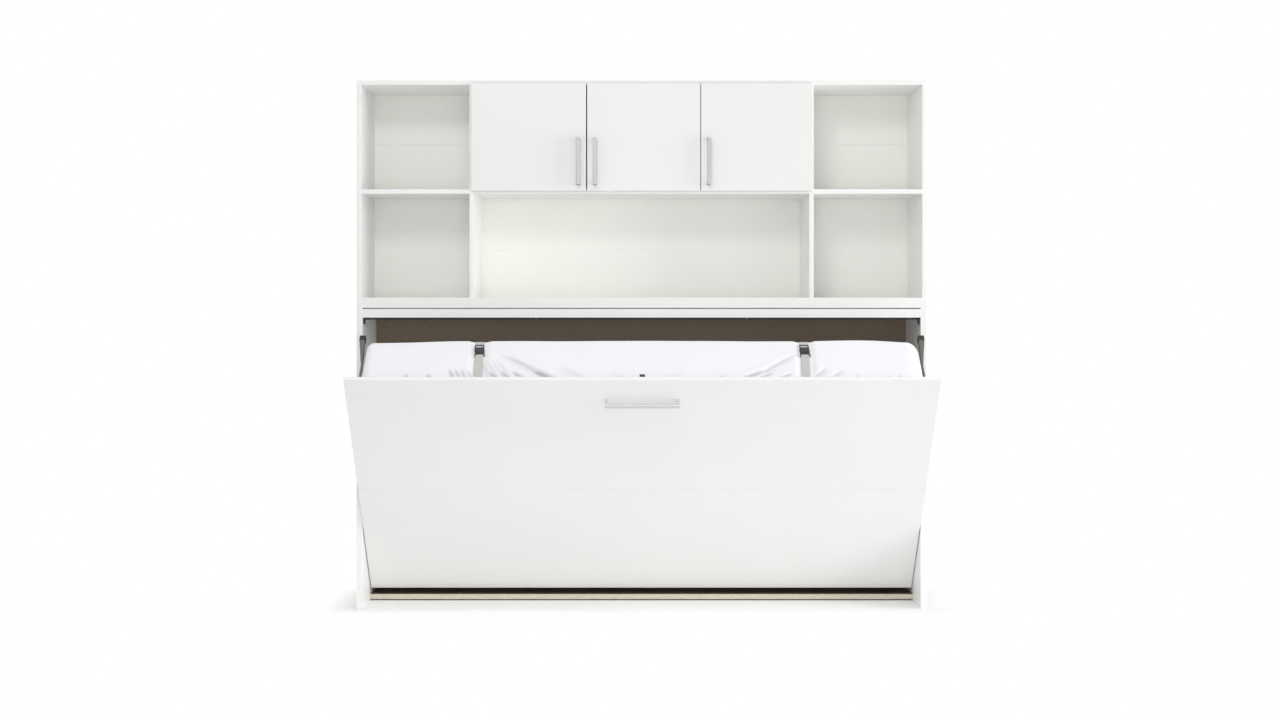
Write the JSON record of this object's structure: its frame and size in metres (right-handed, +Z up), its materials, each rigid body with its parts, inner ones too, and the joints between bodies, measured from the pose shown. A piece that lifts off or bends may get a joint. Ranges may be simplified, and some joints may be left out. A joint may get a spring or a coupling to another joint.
{
  "type": "wall bed",
  "caption": "Horizontal wall bed that folds down sideways from a low cabinet, with a hutch of open compartments and cupboard doors on top.",
  "frame": {"origin": "on the floor, at the middle of the bounding box of the whole object with the bed folded part of the way down", "axes": "+X to the right seen from the front, +Y from the front to the wall, +Z up"},
  "size_m": [2.12, 0.8344, 1.965],
  "materials": {
    "white_board": "satin",
    "white_front": "satin",
    "white_rail": "satin",
    "white_back": "matte",
    "brown_back": "matte",
    "bare_board": "matte",
    "beech": "satin",
    "dark_steel": "satin",
    "zinc_steel": "satin",
    "rod_chrome": "polished",
    "leg_steel": "satin",
    "handle_aluminium": "satin",
    "black_plastic": "satin",
    "cap_rubber": "matte",
    "mattress_cover": "matte",
    "webbing": "matte"
  },
  "bodies": {
    "cabinet": {"cabinet_side_left": "white_board", "cabinet_side_right": "white_board", "cabinet_top_board": "white_board", "apron_rail": "white_board", "rear_batten": "white_board", "bottom_board": "bare_board", "cabinet_back": "brown_back", "stop_strip": "dark_steel", "stop_lugs": "dark_steel", "strip_screws": "zinc_steel", "pivot_plates": "zinc_steel", "pivot_pins": "zinc_steel", "mechanism_screws": "zinc_steel", "spring_anchors": "zinc_steel", "gas_cylinder_left": "dark_steel", "gas_cylinder_right": "dark_steel", "hutch_side_left": "white_board", "hutch_side_right": "white_board", "hutch_top_board": "white_board", "hutch_bottom_board": "white_board", "divider_left": "white_board", "divider_right": "white_board", "shelf_left": "white_board", "shelf_middle": "white_board", "shelf_right": "white_board", "cupboard_partition": "white_board", "hutch_back_boards": "white_back", "hinge_arms": "zinc_steel"},
    "bed": {"front_panel_upper": "white_front", "front_panel_lower": "white_front", "bed_handle": "handle_aluminium", "magnet_catch": "black_plastic", "rail_free_side": "white_rail", "mattress_keeper": "white_rail", "end_rail_left": "white_rail", "end_rail_right": "white_rail", "slats": "beech", "slat_holders": "black_plastic", "bed_brackets": "zinc_steel", "pivot_bushes": "black_plastic", "mattress": "mattress_cover", "strap_left": "webbing", "strap_right": "webbing", "strap_buckles": "black_plastic", "leg_hinges": "zinc_steel"},
    "leg_left": {"leg_left": "leg_steel", "leg_cap_left": "cap_rubber"},
    "leg_right": {"leg_right": "leg_steel", "leg_cap_right": "cap_rubber"},
    "door_left": {"door_left": "white_front", "door_handle_left": "handle_aluminium", "hinge_cups_left": "zinc_steel"},
    "door_middle": {"door_middle": "white_front", "door_handle_middle": "handle_aluminium", "hinge_cups_middle": "zinc_steel"},
    "door_right": {"door_right": "white_front", "door_handle_right": "handle_aluminium", "hinge_cups_right": "zinc_steel"},
    "gas_rod_left": {"gas_rod_left": "rod_chrome"},
    "gas_rod_right": {"gas_rod_right": "rod_chrome"}
  },
  "joints": [
    {"name": "bed_fold", "type": "hinge", "parent": "cabinet", "child": "bed", "pos_m": [0, 0.10224, 0.318], "axis": [1, 0, 0], "range_deg": [-39.1, 50.9]},
    {"name": "leg_left_fold", "type": "hinge", "parent": "bed", "child": "leg_left", "pos_m": [-0.9965, -0.37911, 0.86749], "axis": [1, 0, 0], "range_deg": [0, 180]},
    {"name": "leg_right_fold", "type": "hinge", "parent": "bed", "child": "leg_right", "pos_m": [0.9965, -0.37911, 0.86749], "axis": [1, 0, 0], "range_deg": [0, 180]},
    {"name": "door_left_swing", "type": "hinge", "parent": "cabinet", "child": "door_left", "pos_m": [-0.632, 0.02974, 1.753], "axis": [0, 0, -1], "range_deg": [0, 105]},
    {"name": "door_middle_swing", "type": "hinge", "parent": "cabinet", "child": "door_middle", "pos_m": [0.217, 0.02974, 1.753], "axis": [0, 0, 1], "range_deg": [0, 105]},
    {"name": "door_right_swing", "type": "hinge", "parent": "cabinet", "child": "door_right", "pos_m": [0.632, 0.02974, 1.753], "axis": [0, 0, 1], "range_deg": [0, 105]},
    {"name": "gas_rod_left_slide", "type": "slide", "parent": "cabinet", "child": "gas_rod_left", "axis": [0, -0.1788, -0.9839], "range_m": [-0.03397, 0.02621]},
    {"name": "gas_rod_right_slide", "type": "slide", "parent": "cabinet", "child": "gas_rod_right", "axis": [0, -0.1788, -0.9839], "range_m": [-0.03397, 0.02621]}
  ],
  "couplings": [
    {"joint": "gas_rod_left_slide", "follows": "bed_fold", "m_per_rad": -0.03767},
    {"joint": "gas_rod_right_slide", "follows": "bed_fold", "m_per_rad": -0.03767}
  ]
}
